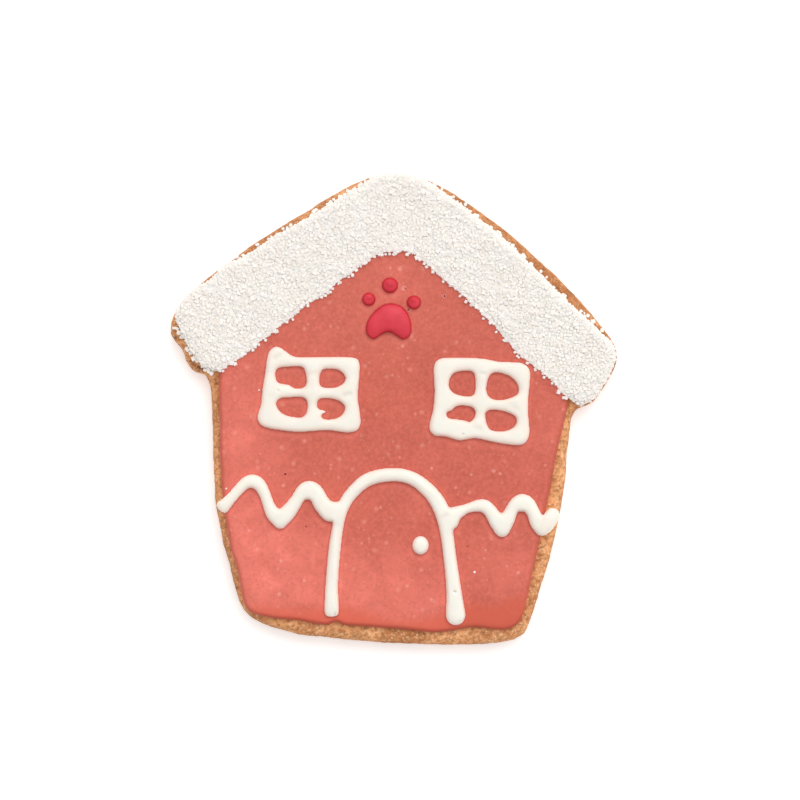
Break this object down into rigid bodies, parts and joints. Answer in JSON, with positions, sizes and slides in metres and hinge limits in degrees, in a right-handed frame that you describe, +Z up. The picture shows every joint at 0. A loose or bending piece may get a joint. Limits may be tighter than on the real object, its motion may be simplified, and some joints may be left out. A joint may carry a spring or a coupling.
{
  "type": "gingerbread house cookie",
  "caption": "Flat house-shaped cookie with flooded wall icing, a sugared white roof, piped window frames, an arched door and a small paw print.",
  "frame": {"origin": "middle of the outline's box, on the flat underside", "axes": "+Z up out of the iced face, +Y from the doorstep to the roof ridge, +X to the right of the house as it is looked at"},
  "size_m": [0.0997, 0.1053, 0.0098],
  "materials": {
    "gingerbread": "baked, dry and finely pitted golden brown crust",
    "wall_icing": "dried flood icing, satin coral red with faint mottling",
    "sugared_icing": "white icing under a full coat of coarse sugar",
    "white_icing": "dried piped icing, smooth satin cream white",
    "berry_icing": "dried piped icing, smooth and slightly glossy deep red"
  },
  "bodies": {
    "root": {"cookie": "gingerbread", "wall_icing": "wall_icing", "roof_icing": "sugared_icing", "window_left": "white_icing", "window_right": "white_icing", "door_and_drifts": "white_icing", "door_knob": "white_icing", "paw_pad": "berry_icing", "paw_toe_left": "berry_icing", "paw_toe_top": "berry_icing", "paw_toe_right": "berry_icing"}
  },
  "joints": []
}
